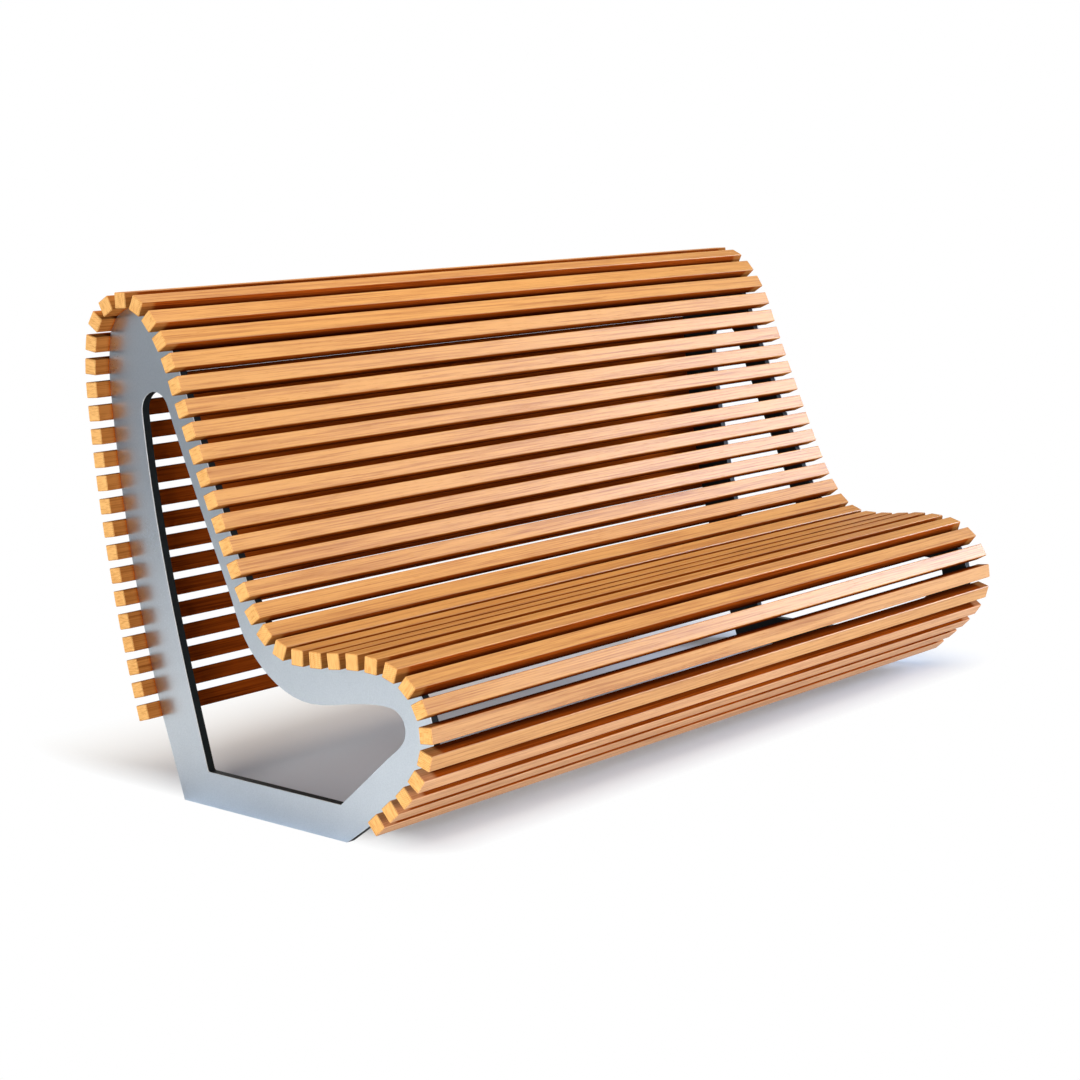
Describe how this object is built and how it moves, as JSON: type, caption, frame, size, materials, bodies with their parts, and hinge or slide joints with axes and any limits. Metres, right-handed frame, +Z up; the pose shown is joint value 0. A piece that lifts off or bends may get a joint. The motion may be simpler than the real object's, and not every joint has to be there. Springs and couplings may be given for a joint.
{
  "type": "bench",
  "caption": "Long high-backed bench of square timber slats laid all round the edges of flat painted steel side frames, with open gaps between the slats.",
  "frame": {"origin": "on the floor under the middle of the bench's length and of its depth", "axes": "+X along the slats, towards the right side frame; +Y to the rear, so that the sitter faces -Y; +Z up"},
  "size_m": [2.06, 0.9404, 1.0323],
  "materials": {
    "slat_timber": "satin oiled",
    "frame_steel": "satin paint"
  },
  "bodies": {
    "root": {"back_slat_01": "slat_timber", "back_slat_02": "slat_timber", "back_slat_03": "slat_timber", "back_slat_04": "slat_timber", "back_slat_05": "slat_timber", "back_slat_06": "slat_timber", "back_slat_07": "slat_timber", "back_slat_08": "slat_timber", "back_slat_09": "slat_timber", "back_slat_10": "slat_timber", "back_slat_11": "slat_timber", "back_slat_12": "slat_timber", "back_slat_13": "slat_timber", "back_slat_14": "slat_timber", "front_slat_01": "slat_timber", "front_slat_02": "slat_timber", "front_slat_03": "slat_timber", "front_slat_04": "slat_timber", "front_slat_05": "slat_timber", "front_slat_06": "slat_timber", "front_slat_07": "slat_timber", "front_slat_08": "slat_timber", "front_slat_09": "slat_timber", "left_side_frame": "frame_steel", "rear_slat_01": "slat_timber", "rear_slat_02": "slat_timber", "rear_slat_03": "slat_timber", "rear_slat_04": "slat_timber", "rear_slat_05": "slat_timber", "rear_slat_06": "slat_timber", "rear_slat_07": "slat_timber", "rear_slat_08": "slat_timber", "rear_slat_09": "slat_timber", "rear_slat_10": "slat_timber", "rear_slat_11": "slat_timber", "rear_slat_12": "slat_timber", "rear_slat_13": "slat_timber", "rear_slat_14": "slat_timber", "rear_slat_15": "slat_timber", "rear_slat_16": "slat_timber", "rear_slat_17": "slat_timber", "right_side_frame": "frame_steel", "seat_slat_01": "slat_timber", "seat_slat_02": "slat_timber", "seat_slat_03": "slat_timber", "seat_slat_04": "slat_timber", "seat_slat_05": "slat_timber", "seat_slat_06": "slat_timber", "seat_slat_07": "slat_timber", "top_slat_01": "slat_timber", "top_slat_02": "slat_timber", "top_slat_03": "slat_timber", "top_slat_04": "slat_timber"}
  },
  "joints": []
}
